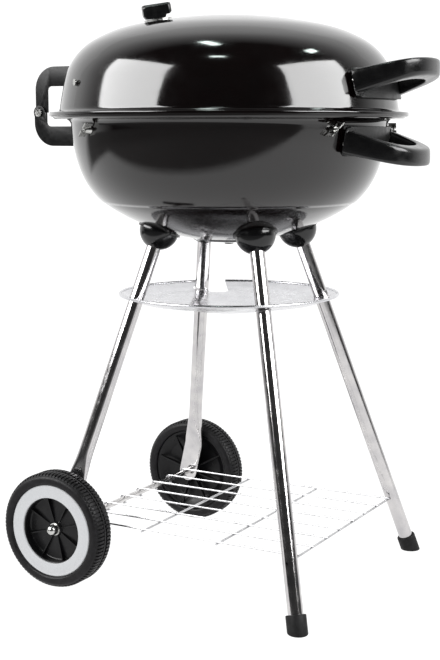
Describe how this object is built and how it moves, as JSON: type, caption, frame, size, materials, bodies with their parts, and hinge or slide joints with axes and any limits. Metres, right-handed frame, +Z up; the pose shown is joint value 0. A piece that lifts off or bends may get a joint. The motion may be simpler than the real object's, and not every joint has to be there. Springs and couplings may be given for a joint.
{
  "type": "kettle charcoal grill",
  "caption": "Round kettle charcoal grill with a hinged domed lid, loop handles, splayed tube legs, an ash dish, a wire shelf and wheels.",
  "frame": {"origin": "on the floor, at the middle of the whole object's outline seen from above", "axes": "+Z up, +X towards the two handles, the lid's hinge at -X, the front wheel and the front foot at -Y"},
  "size_m": [0.5878, 0.46, 0.7406],
  "materials": {
    "black_enamel": "deep gloss vitreous enamel",
    "socket_black": "gloss enamel",
    "handle_black": "satin moulded nylon",
    "shield_black": "satin moulded plate",
    "hinge_black": "satin black paint",
    "zinc": "bright zinc plate",
    "bright_chrome": "polished chrome",
    "rack_wire": "plated wire",
    "grate_plate": "plated wire",
    "ash_aluminium": "polished pressed sheet",
    "trim_silver": "bright satin ring",
    "hub_black": "moulded, low gloss",
    "tyre_black": "moulded tread",
    "foot_rubber": "matte"
  },
  "bodies": {
    "stand": {"bowl_shell": "black_enamel", "bowl_handle": "handle_black", "bowl_handle_shield": "shield_black", "bowl_handle_screws": "zinc", "hinge_lower_arm": "hinge_black", "hinge_lower_screws": "zinc", "hinge_pin": "zinc", "hinge_nut": "zinc", "leg_socket_front_left": "socket_black", "leg_socket_front_right": "socket_black", "leg_socket_rear_right": "socket_black", "leg_socket_rear_left": "socket_black", "leg_front_left": "bright_chrome", "leg_front_right": "bright_chrome", "leg_rear_right": "bright_chrome", "leg_rear_left": "bright_chrome", "leg_inserts": "zinc", "leg_bolts": "zinc", "foot_cap_front_right": "foot_rubber", "foot_cap_rear_right": "foot_rubber", "ash_catcher": "ash_aluminium", "wire_rack": "rack_wire", "axle": "zinc", "axle_spacers": "zinc", "cap_nut_front": "bright_chrome", "cap_nut_rear": "bright_chrome", "grate_brackets": "zinc", "bracket_bolts": "zinc", "wing_nuts": "zinc", "bowl_vent_rivet": "zinc"},
    "lid": {"lid_shell": "black_enamel", "lid_handle": "handle_black", "lid_handle_shield": "shield_black", "lid_handle_screws": "zinc", "hinge_upper_arm": "hinge_black", "hinge_upper_screws": "zinc", "lid_vent_rivet": "zinc", "lid_hook": "zinc", "lid_hook_screw": "zinc"},
    "lid_vent": {"lid_vent_disc": "bright_chrome", "lid_vent_knob": "handle_black"},
    "bowl_vent": {"bowl_vent_damper": "ash_aluminium"},
    "wheel_front": {"tyre_front": "tyre_black", "hub_front": "hub_black", "trim_ring_front": "trim_silver"},
    "wheel_rear": {"tyre_rear": "tyre_black", "hub_rear": "hub_black", "trim_ring_rear": "trim_silver"},
    "cooking_grate_frame": {"cooking_grate": "grate_plate"},
    "charcoal_grate_frame": {"charcoal_grate": "grate_plate"}
  },
  "joints": [
    {"name": "lid_hinge", "type": "hinge", "parent": "stand", "child": "lid", "pos_m": [-0.28439, 0, 0.607], "axis": [0, -1, 0], "range_deg": [0, 100]},
    {"name": "lid_vent_turn", "type": "hinge", "parent": "lid", "child": "lid_vent", "pos_m": [-0.03935, -0.08203, 0.71837], "axis": [-0.0949, -0.1391, 0.9857], "range_deg": [0, 45]},
    {"name": "bowl_vent_turn", "type": "hinge", "parent": "stand", "child": "bowl_vent", "pos_m": [0.01661, 0, 0.4396], "axis": [0, 0, 1], "range_deg": [0, 60]},
    {"name": "wheel_front_spin", "type": "hinge", "parent": "stand", "child": "wheel_front", "pos_m": [-0.13839, -0.177, 0.075], "axis": [0, 1, 0], "continuous": true},
    {"name": "wheel_rear_spin", "type": "hinge", "parent": "stand", "child": "wheel_rear", "pos_m": [-0.13839, 0.177, 0.075], "axis": [0, 1, 0], "continuous": true},
    {"name": "cooking_grate_lift", "type": "slide", "parent": "stand", "child": "cooking_grate_frame", "axis": [0, 0, 1], "range_m": [0, 0.015]},
    {"name": "charcoal_grate_lift", "type": "slide", "parent": "stand", "child": "charcoal_grate_frame", "axis": [0, 0, 1], "range_m": [0, 0.05]}
  ]
}
